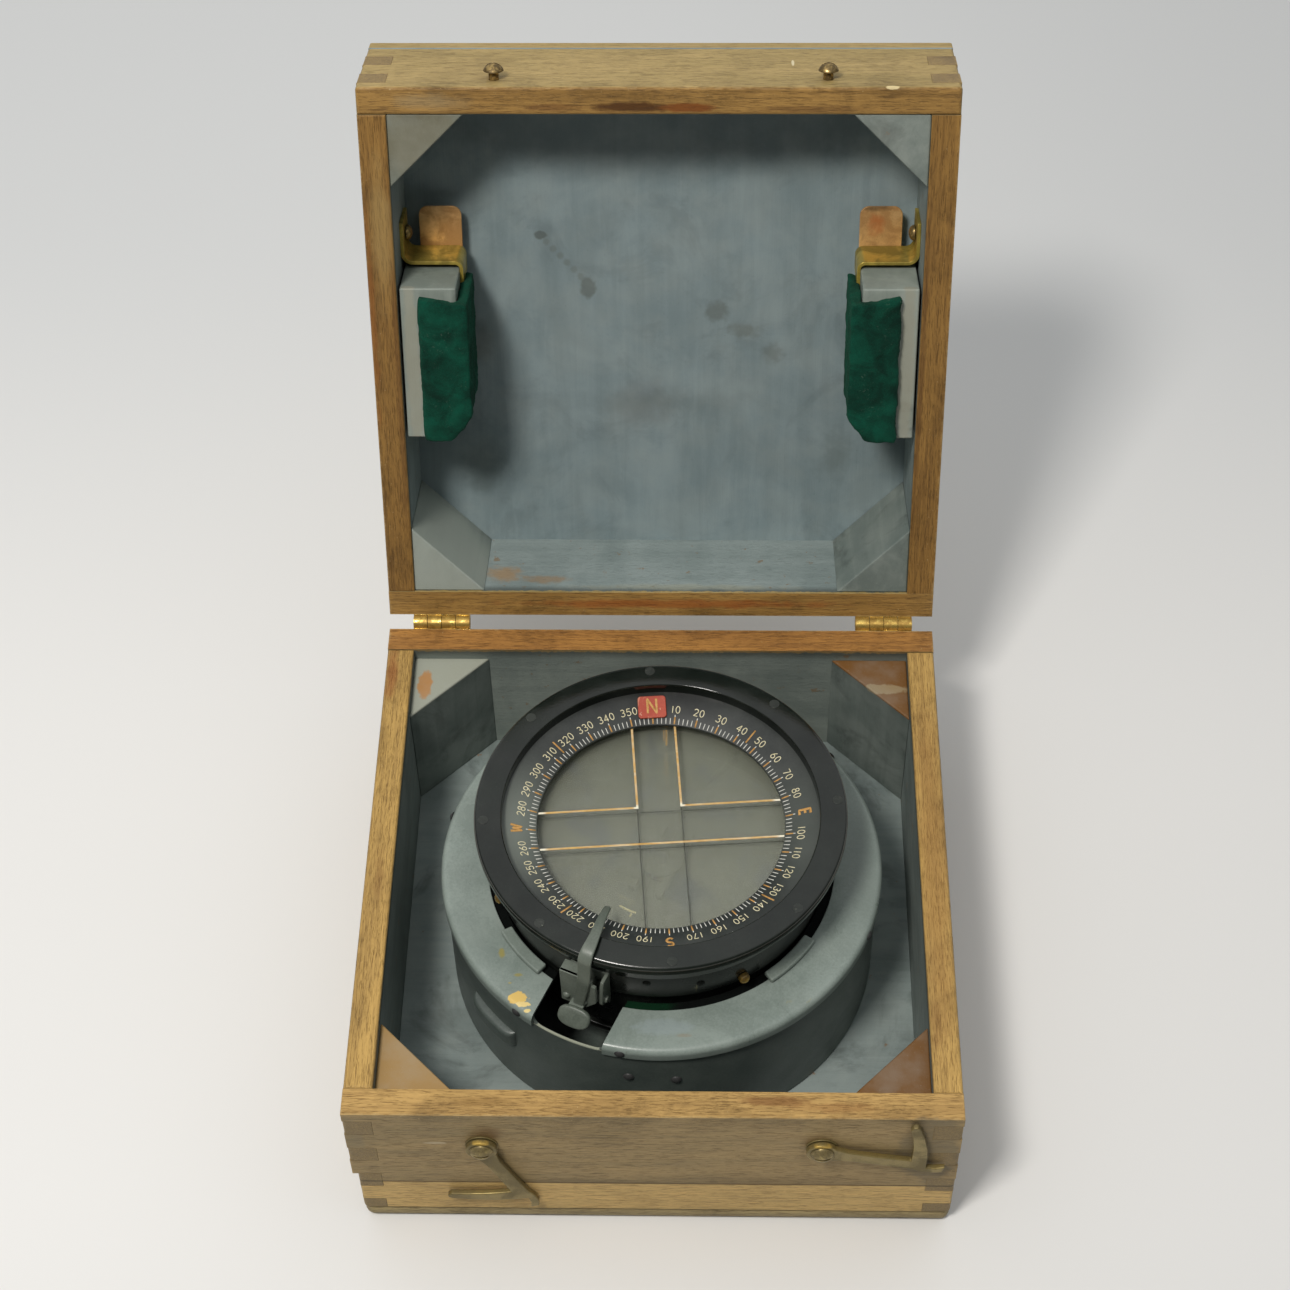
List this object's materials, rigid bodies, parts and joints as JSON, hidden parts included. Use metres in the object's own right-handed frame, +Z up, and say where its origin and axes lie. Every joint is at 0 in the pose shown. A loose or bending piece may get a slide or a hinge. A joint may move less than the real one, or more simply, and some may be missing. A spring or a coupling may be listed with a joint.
{
  "type": "steering compass in a carrying case",
  "caption": "Liquid steering compass with a turning grid ring and clamp lever, sprung in a round container inside a hinged wooden carrying case with brass hooks.",
  "frame": {"origin": "middle of the case's underside, on the surface that it stands on", "axes": "+X to the right seen from the front, +Y from the front to the hinges at the back, +Z up"},
  "size_m": [0.24, 0.3865, 0.3193],
  "materials": {
    "wood": "old varnish, worn",
    "wood_pale": "bare, worn",
    "wood_grey": "bare, weathered",
    "painted_wood": "matt grey paint, brushed on",
    "brass": "tarnished",
    "copper": "brushed",
    "container_paint": "matt grey paint",
    "cover_paint": "satin grey paint, chipped",
    "clamp_paint": "satin grey paint",
    "black_enamel": "satin black enamel",
    "dial_grey": "matt dark grey",
    "bowl_grey": "matt olive grey",
    "dark_screws": "painted over",
    "red_enamel": "worn red paint",
    "luminous": "aged luminous paint",
    "steel": "plain",
    "glass": "clear",
    "felt": "wool felt"
  },
  "bodies": {
    "case": {"front_upper_board": "wood", "front_lower_board": "wood_pale", "back_wall": "wood", "left_wall": "wood", "right_wall": "wood", "bottom_panel": "wood_grey", "packing_floor": "painted_wood", "base_corner_blocks": "painted_wood", "base_hinge_leaves": "brass", "hinge_pins": "brass", "base_hinge_screws": "brass", "hook_washers": "brass", "hook_screws": "brass", "container": "container_paint", "cover_ring": "cover_paint", "cover_tabs": "cover_paint", "container_screws": "dark_screws", "side_pocket": "container_paint", "felt_seal_ring": "felt", "suspension_springs": "steel"},
    "lid": {"lid_front_wall": "wood", "lid_back_wall": "wood", "lid_left_wall": "wood", "lid_right_wall": "wood", "lid_panel": "painted_wood", "lid_corner_blocks": "painted_wood", "left_hold_down_block": "painted_wood", "right_hold_down_block": "painted_wood", "left_felt_pad": "felt", "right_felt_pad": "felt", "left_clip_strap": "brass", "right_clip_strap": "brass", "clip_tabs": "copper", "clip_screws": "brass", "lid_catch_screws": "brass", "lid_hinge_leaves": "brass", "lid_hinge_screws": "brass"},
    "bowl": {"bowl": "black_enamel", "bowl_base": "black_enamel", "expansion_bellows": "brass", "bowl_glass": "glass", "glass_ring": "black_enamel", "bowl_side_screws": "brass", "pivot_post": "brass", "lubber_lines": "luminous", "clamp_bracket": "clamp_paint", "clamp_pin": "clamp_paint"},
    "magnets": {"magnet_frame": "bowl_grey", "bar_magnets": "steel"},
    "grid_ring": {"bezel": "black_enamel", "grid_carrier": "black_enamel", "bezel_screws": "dark_screws", "scale_ring": "dial_grey", "grid_glass": "glass", "grid_lines": "luminous", "grid_wires": "steel", "north_block": "red_enamel"},
    "clamp": {"clamp_lever": "clamp_paint"},
    "left_hook": {"left_hook": "brass"},
    "right_hook": {"right_hook": "brass"}
  },
  "joints": [
    {"name": "lid_hinge", "type": "hinge", "parent": "case", "child": "lid", "pos_m": [0, 0.1248, 0.0845], "axis": [1, 0, 0], "range_deg": [0, 109.56]},
    {"name": "left_hook_pivot", "type": "hinge", "parent": "case", "child": "left_hook", "pos_m": [-0.0668, -0.1231, 0.062], "axis": [0, 1, 0], "range_deg": [-69, 194.2]},
    {"name": "right_hook_pivot", "type": "hinge", "parent": "case", "child": "right_hook", "pos_m": [0.066, -0.1231, 0.0622], "axis": [0, -1, 0], "range_deg": [-167.5, 90.9]},
    {"name": "bowl_float", "type": "slide", "parent": "case", "child": "bowl", "axis": [0, 0, 1], "range_m": [-0.0015, 0.0015], "stiffness_N_per_m": 14000, "springref_m": 0.0015, "deforming": ["suspension_springs"]},
    {"name": "grid_ring_turn", "type": "hinge", "parent": "bowl", "child": "grid_ring", "pos_m": [0.002, 0, 0.11], "axis": [0, 0, 1], "continuous": true},
    {"name": "magnets_turn", "type": "hinge", "parent": "bowl", "child": "magnets", "pos_m": [0.002, 0, 0.08], "axis": [0, 0, 1], "continuous": true},
    {"name": "clamp_pivot", "type": "hinge", "parent": "bowl", "child": "clamp", "pos_m": [-0.02769, -0.06668, 0.088], "axis": [-0.9135, 0.4067, 0], "range_deg": [-25, 0], "stiffness_Nm_per_rad": 0.05, "springref_deg": 11.46}
  ]
}
